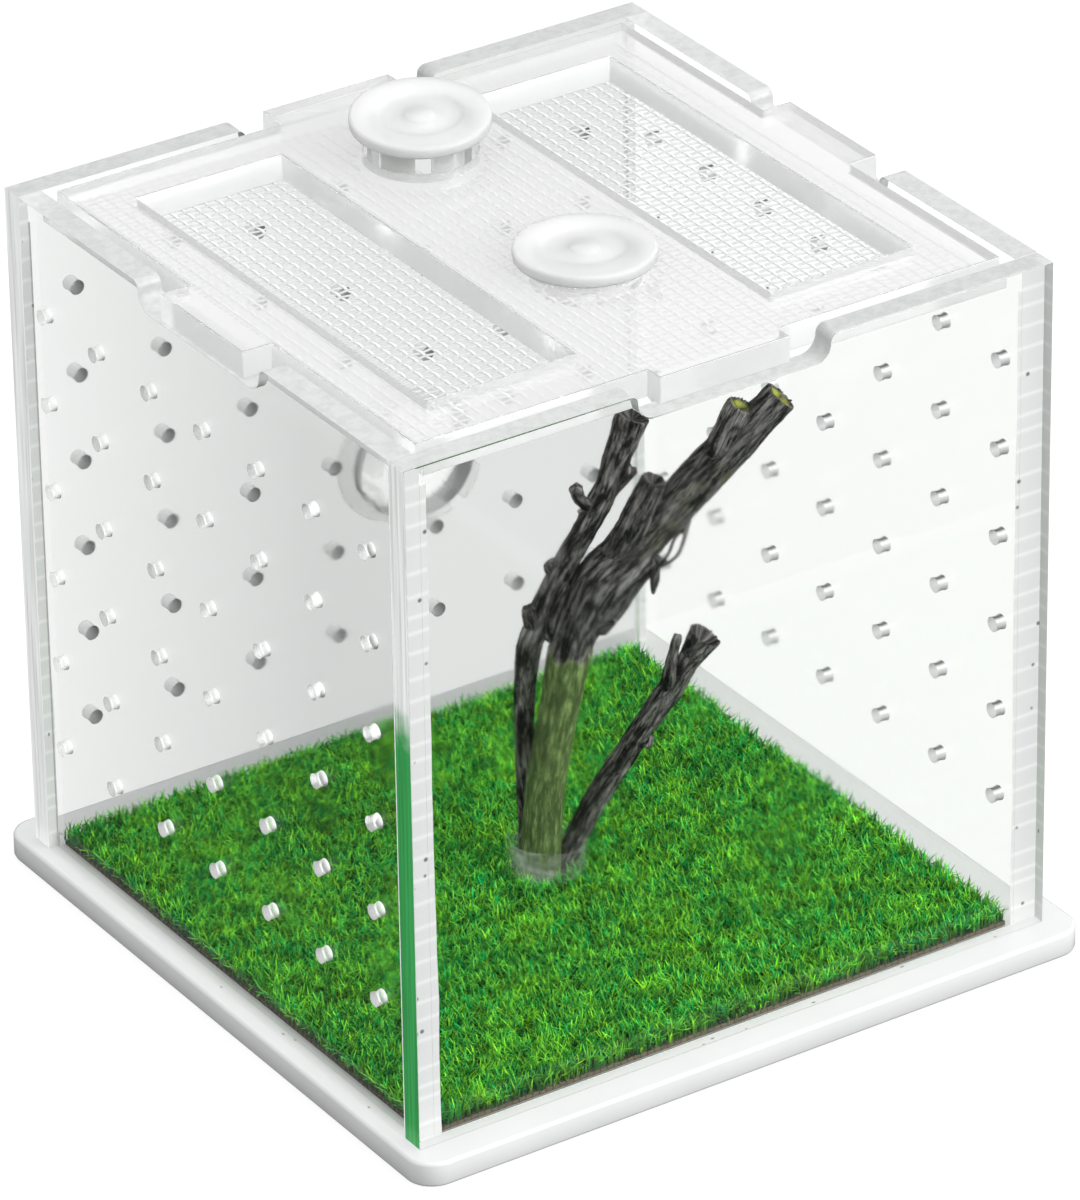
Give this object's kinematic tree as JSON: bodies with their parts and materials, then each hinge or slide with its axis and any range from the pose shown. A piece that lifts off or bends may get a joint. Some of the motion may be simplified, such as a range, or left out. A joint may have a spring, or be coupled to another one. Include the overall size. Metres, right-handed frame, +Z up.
{
  "type": "jumping spider enclosure",
  "caption": "Clear acrylic display box on a base plate, with drilled vents, a lift-off lid with meshed windows, pull-out port plugs, a turf mat and a branch to climb.",
  "frame": {"origin": "centre of the base plate's underside", "axes": "+Z up, X along the front panel to the right, +Y from the front panel to the back"},
  "size_m": [0.12, 0.12, 0.1235],
  "materials": {
    "acrylic_base": "polished clear acrylic sheet",
    "acrylic_wall": "polished clear acrylic sheet",
    "acrylic_lid": "polished clear acrylic sheet",
    "mesh_white": "fine white woven screen",
    "plug_frosted": "frosted soft moulded plastic",
    "turf_backing": "woven turf backing",
    "turf_green": "short green turf pile",
    "bark": "rough grey bark",
    "vinyl_clear": "clear soft plastic"
  },
  "bodies": {
    "enclosure": {"base_plate": "acrylic_base", "left_wall": "acrylic_wall", "right_wall": "acrylic_wall", "back_wall": "acrylic_wall", "front_panel": "acrylic_wall", "turf_backing": "turf_backing", "turf_pile": "turf_green", "main_branch": "bark", "left_stick": "bark", "right_stick": "bark", "branch_cup": "vinyl_clear", "branch_band": "vinyl_clear"},
    "lid": {"lid_plate": "acrylic_lid", "lid_mesh": "mesh_white"},
    "front_plug": {"front_plug": "plug_frosted"},
    "rear_plug": {"rear_plug": "plug_frosted"},
    "wall_plug": {"wall_plug": "plug_frosted"}
  },
  "joints": [
    {"name": "lid_lift", "type": "slide", "parent": "enclosure", "child": "lid", "axis": [0, 0, 1], "range_m": [0, 0.06]},
    {"name": "front_plug_pull", "type": "slide", "parent": "lid", "child": "front_plug", "axis": [0, 0, 1], "range_m": [0, 0.012]},
    {"name": "rear_plug_pull", "type": "slide", "parent": "lid", "child": "rear_plug", "axis": [-0.0477, -0.0729, 0.9962], "range_m": [-0.0032, 0.008]},
    {"name": "wall_plug_pull", "type": "slide", "parent": "enclosure", "child": "wall_plug", "axis": [0, 1, 0], "range_m": [0, 0.012]}
  ]
}
